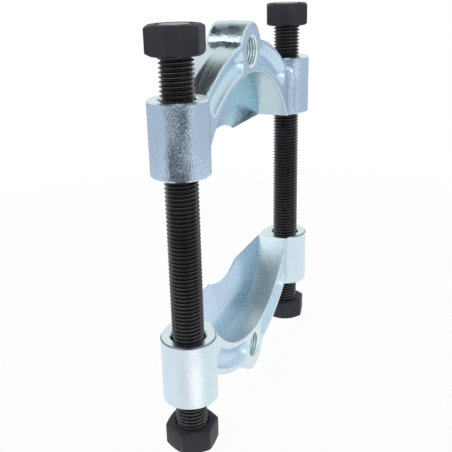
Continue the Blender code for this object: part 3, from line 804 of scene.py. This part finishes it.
def nut_mesh(finish):
    """Rows from the bore out over one face, down the flats and back over the other face."""
    outline = []
    inner = (NUT_ACROSS_FLATS / 2 - NUT_CORNER_ROUND) * 2 / math.sqrt(3)
    for corner in range(6):
        angle = math.radians(60 * corner)
        centre = (inner * math.cos(angle), inner * math.sin(angle))
        outline += arc(centre, NUT_CORNER_ROUND, angle - math.pi / 6, angle + math.pi / 6, 5)
        start = Vector(outline[-1])
        turn = angle + math.pi / 3
        centre = (inner * math.cos(turn), inner * math.sin(turn))
        end = Vector(arc(centre, NUT_CORNER_ROUND, turn - math.pi / 6, turn, 1)[0])
        outline += [tuple(start.lerp(end, step / 10)) for step in range(1, 10)]
    slope = math.tan(math.radians(NUT_CHAMFER_ANGLE))
    shape = bmesh.new()
    rows = []

    def ring(radius_of, height_of):
        row = []
        for across, deep in outline:
            far = math.hypot(across, deep)
            radius = radius_of(far)
            row.append(shape.verts.new((across / far * radius, deep / far * radius, height_of(far))))
        rows.append(row)

    mouth = NUT_BORE_RADIUS + NUT_COUNTERSINK
    edge = NUT_EDGE_ROUND
    for flip in (0, 1):
        steps = [
            (lambda far: NUT_BORE_RADIUS, lambda far: NUT_COUNTERSINK),
            (lambda far: mouth, lambda far: 0.0),
            (lambda far: NUT_FACE_RADIUS - edge, lambda far: 0.0),
            (lambda far: NUT_FACE_RADIUS - edge * 0.25, lambda far: edge * 0.10),
            (lambda far: NUT_FACE_RADIUS + edge * 0.7, lambda far: edge * 0.45),
            (lambda far: far - edge * 0.8, lambda far: (far - NUT_FACE_RADIUS - edge * 0.6) * slope),
            (lambda far: far - edge * 0.2,
             lambda far: (far - NUT_FACE_RADIUS - edge * 0.1) * slope + edge * 0.12),
            (lambda far: far, lambda far: (far - NUT_FACE_RADIUS) * slope + edge * 0.7),
        ]
        if flip:
            for radius_of, height_of in reversed(steps):
                ring(radius_of, lambda far, height_of=height_of: NUT_HEIGHT - height_of(far))
        else:
            for radius_of, height_of in steps:
                ring(radius_of, height_of)
    for low, high in zip(rows, rows[1:] + rows[:1]):
        for index in range(len(low)):
            after = (index + 1) % len(low)
            shape.faces.new((low[index], low[after], high[after], high[index]))
    bmesh.ops.recalc_face_normals(shape, faces=shape.faces)
    mesh = bpy.data.meshes.new("nut")
    shape.to_mesh(mesh)
    shape.free()
    mesh.materials.append(finish)
    return mesh


def nut_black():
    """Black oxide, duller than on the studs, over a surface that was hot forged."""
    finish, tree, shader, where = new_finish("blackened nut steel")
    oxide = blotches(tree, where, 140.0, 5.0, 0.6)
    tree.links.new(ramp(tree, oxide, (0.30, NUT_OXIDE), (0.72, NUT_OXIDE_PALE)), shader.inputs["Base Color"])
    tree.links.new(ramp(tree, blotches(tree, where, 500.0, 3.0), (0.30, 0.44), (0.75, 0.60)),
                   shader.inputs["Roughness"])
    shader.inputs["Metallic"].default_value = 0.0
    shader.inputs["Specular IOR Level"].default_value = 0.35
    grain = node(tree, "ShaderNodeBump",
                 {"Height": blotches(tree, where, 900.0, 4.0, 0.6), "Strength": 0.6, "Distance": 0.00008})
    tree.links.new(grain.outputs["Normal"], shader.inputs["Normal"])
    return finish


nut_source = nut_mesh(nut_black())
for nut_place, turn in NUT_TURN.items():
    end, level = nut_place.split("_")
    across = -STUD_HALF_SPACING if end == "near" else STUD_HALF_SPACING
    height = STUD_LENGTH - NUT_HEIGHT if level == "upper" else 0.0
    one_nut = nut_source.copy()
    one_nut.transform(Matrix.Translation((across, 0, height)) @ Matrix.Rotation(math.radians(turn), 4, "Z"))
    finish_piece(nut_place + "_hexagon", one_nut, nut_place + "_nut", nut_place + "_nut", 34.0)


# Studio
# The tool stands on a white table in a white room, with a dark ceiling and dark and light panels
# round it. The camera sees plain white behind the tool, and the plating shows the rest in streaks.
TABLE_HALF_SIZE = 0.7
TABLE_RADIUS = 0.35
TABLE_FADE = 0.15
TABLE_DROP = 0.0003
TABLE_GLOW = 0.96
# Painted light on the table, patches that only reflections show, the brighter one a pool where the lamps fall
# strongest: place, and shade
TABLE_LIGHT_POOLS = (
    ((-0.168, -0.007), (0.98, 0.88, 0.88)),
    ((-0.139, -0.065), (1.60, 1.36, 1.28)),
)
POOL_CORE = 0.014
POOL_EDGE = 0.056
# The room from straight down, 0, to straight up, 1: height, and shade
ROOM = (
    (0.29, (1.0, 1.0, 1.0)),
    (0.35, (0.56, 0.60, 0.71)),
    (0.49, (0.56, 0.60, 0.71)),
    (0.54, (0.88, 0.91, 0.90)),
    (0.925, (0.88, 0.91, 0.90)),
    (0.960, (0.06, 0.06, 0.065)),
    (0.988, (0.06, 0.06, 0.065)),
    (0.994, (1.8, 1.8, 1.8)),
)
# Upright panels round the tool: azimuth, half width, lowest and highest angle in degrees, and shade
PANELS = (
    (201.0, 40.0, -22.0, -8.5, (0.04, 0.04, 0.05)),
    (88.0, 70.0, 51.0, 84.0, (0.03, 0.03, 0.035)),
    (324.0, 30.0, 49.0, 84.0, (0.05, 0.05, 0.055)),
    (205.0, 28.0, 53.0, 84.0, (0.10, 0.10, 0.13)),
    (252.0, 13.0, -3.0, 26.0, (1.8, 1.8, 1.8)),
    (150.0, 24.0, 34.0, 55.0, (1.8, 1.8, 1.8)),
)
PANEL_SOFTNESS = 3.0


def studio_floor():
    mesh = bpy.data.meshes.new("studio floor")
    corners = [(TABLE_HALF_SIZE * across, TABLE_HALF_SIZE * along, -TABLE_DROP)
               for across, along in ((-1, -1), (1, -1), (1, 1), (-1, 1))]
    mesh.from_pydata(corners, [], [(0, 1, 2, 3)])
    floor = guide("studio_floor", mesh)
    finish, tree, shader, where = new_finish("white table")
    shader.inputs["Base Color"].default_value = (0.9, 0.9, 0.9, 1.0)
    shader.inputs["Roughness"].default_value = 0.9
    shader.inputs["Specular IOR Level"].default_value = 0.1
    rays = tree.nodes.new("ShaderNodeLightPath")
    glow_with_pools = None
    # Painted light: the patches glow in their own shade, the brighter one a pool of light, in reflections
    # only
    for pool_place, shade in TABLE_LIGHT_POOLS:
        away = node(tree, "ShaderNodeVectorMath", {0: where, 1: (*pool_place, 0.0)}, operation="DISTANCE")
        share = node(tree, "ShaderNodeMapRange",
                     {"Value": away.outputs["Value"], "From Min": POOL_EDGE, "From Max": POOL_CORE},
                     interpolation_type="SMOOTHSTEP").outputs["Result"]
        mirrored = maths(tree, "MULTIPLY", share, rays.outputs["Is Glossy Ray"])
        glow_with_pools = node(tree, "ShaderNodeMix", {0: mirrored, 6: glow_with_pools or (1.0, 1.0, 1.0, 1.0), 7: (*shade, 1.0)},
                    data_type="RGBA").outputs[2]
    glow = node(tree, "ShaderNodeEmission", {"Color": glow_with_pools, "Strength": 1.0})
    seen = maths(tree, "MAXIMUM", rays.outputs["Is Camera Ray"],
                 maths(tree, "MAXIMUM", rays.outputs["Is Glossy Ray"], rays.outputs["Is Transmission Ray"]))
    # The camera sees the white room through the table, because the lower half shell's pulling boss
    # comes below the table's level when that half slides down onto its nuts
    clear = tree.nodes.new("ShaderNodeBsdfTransparent")
    white = node(tree, "ShaderNodeMixShader",
                 {0: rays.outputs["Is Camera Ray"], 1: glow.outputs[0], 2: clear.outputs[0]})
    lit = node(tree, "ShaderNodeMixShader",
               {0: maths(tree, "MULTIPLY", seen, TABLE_GLOW), 1: shader.outputs[0], 2: white.outputs[0]})
    # The table ends softly, so that no edge of it shows against the white room
    far = node(tree, "ShaderNodeVectorMath", {0: where}, operation="LENGTH").outputs["Value"]
    gone = node(tree, "ShaderNodeMapRange",
                {"Value": far, "From Min": TABLE_RADIUS, "From Max": TABLE_RADIUS + TABLE_FADE},
                interpolation_type="SMOOTHSTEP").outputs["Result"]
    edged = node(tree, "ShaderNodeMixShader", {0: gone, 1: lit.outputs[0], 2: clear.outputs[0]})
    tree.links.new(edged.outputs[0], tree.nodes["Material Output"].inputs["Surface"])
    mesh.materials.append(finish)


def studio_world():
    world = bpy.data.worlds.new("white room")
    bpy.context.scene.world = world
    world.use_nodes = True
    tree = world.node_tree
    back = tree.nodes["Background"]
    direction = tree.nodes.new("ShaderNodeTexCoord").outputs["Generated"]
    way = node(tree, "ShaderNodeSeparateXYZ", {"Vector": direction})
    height = way.outputs["Z"]
    room = ramp(tree, maths(tree, "MULTIPLY_ADD", height, 0.5, 0.5), *ROOM)
    flat = maths(tree, "SQRT", maths(tree, "SUBTRACT", 1.0001, maths(tree, "POWER", height, 2.0)))

    def between(value, start, full):
        return node(tree, "ShaderNodeMapRange", {"Value": value, "From Min": start, "From Max": full},
                    interpolation_type="SMOOTHSTEP").outputs["Result"]

    def panel(azimuth, half_width, low, high):
        """Where a direction meets an upright panel on one side of the room, with soft edges."""
        across = maths(tree, "MULTIPLY", way.outputs["X"], math.cos(math.radians(azimuth)))
        along = maths(tree, "MULTIPLY", way.outputs["Y"], math.sin(math.radians(azimuth)))
        towards = maths(tree, "DIVIDE", maths(tree, "ADD", across, along), flat)
        wide = between(towards, math.cos(math.radians(half_width + PANEL_SOFTNESS)),
                       math.cos(math.radians(half_width - PANEL_SOFTNESS)))
        over_foot = between(height, math.sin(math.radians(low - PANEL_SOFTNESS)),
                            math.sin(math.radians(low + PANEL_SOFTNESS)))
        under_top = between(height, math.sin(math.radians(high + PANEL_SOFTNESS)),
                            math.sin(math.radians(high - PANEL_SOFTNESS)))
        return maths(tree, "MULTIPLY", wide, maths(tree, "MULTIPLY", over_foot, under_top))

    colour = room
    for azimuth, half_width, low, high, shade in PANELS:
        colour = node(tree, "ShaderNodeMix",
                      {0: panel(azimuth, half_width, low, high), 6: colour, 7: (*shade, 1.0)},
                      data_type="RGBA").outputs[2]
    rays = tree.nodes.new("ShaderNodeLightPath")
    shown = node(tree, "ShaderNodeMix",
                 {0: rays.outputs["Is Camera Ray"], 6: colour, 7: (1.0, 1.0, 1.0, 1.0)},
                 data_type="RGBA").outputs[2]
    tree.links.new(shown, back.inputs["Color"])
    back.inputs["Strength"].default_value = 1.0


studio_floor()
studio_world()
bpy.context.scene.view_settings.view_transform = "Standard"


# Camera
# It stands a little above the near end of the tool and looks down along it, as in the photograph.
# Its place, turn and lens were fitted to the photograph, whose middle lies a little off the lens's.
CAMERA_PLACE = (-0.35855, -0.13694, 0.23205)
CAMERA_YAW = 23.55
CAMERA_PITCH = 20.55
CAMERA_ROLL = 1.72
PHOTO_SIZE = 452
LENS_PIXELS = 710.8
LENS_MIDDLE = (213.1, 233.0)
SENSOR_WIDTH = 36.0


def photo_camera():
    yaw = math.radians(CAMERA_YAW)
    pitch = math.radians(CAMERA_PITCH)
    roll = math.radians(CAMERA_ROLL)
    forward = Vector((math.cos(pitch) * math.cos(yaw), math.cos(pitch) * math.sin(yaw), -math.sin(pitch)))
    level_right = Vector((math.sin(yaw), -math.cos(yaw), 0.0))
    level_down = forward.cross(level_right)
    right = math.cos(roll) * level_right + math.sin(roll) * level_down
    down = -math.sin(roll) * level_right + math.cos(roll) * level_down
    data = bpy.data.cameras.new("photo camera")
    data.sensor_width = SENSOR_WIDTH
    data.lens = LENS_PIXELS / PHOTO_SIZE * SENSOR_WIDTH
    data.shift_x = (PHOTO_SIZE / 2 - LENS_MIDDLE[0]) / PHOTO_SIZE
    data.shift_y = (LENS_MIDDLE[1] - PHOTO_SIZE / 2) / PHOTO_SIZE
    camera = bpy.data.objects.new("photo_camera", data)
    bpy.context.scene.collection.objects.link(camera)
    turn = Matrix((right, -down, -forward)).transposed().to_4x4()
    camera.matrix_world = Matrix.Translation(CAMERA_PLACE) @ turn
    bpy.context.scene.camera = camera


photo_camera()
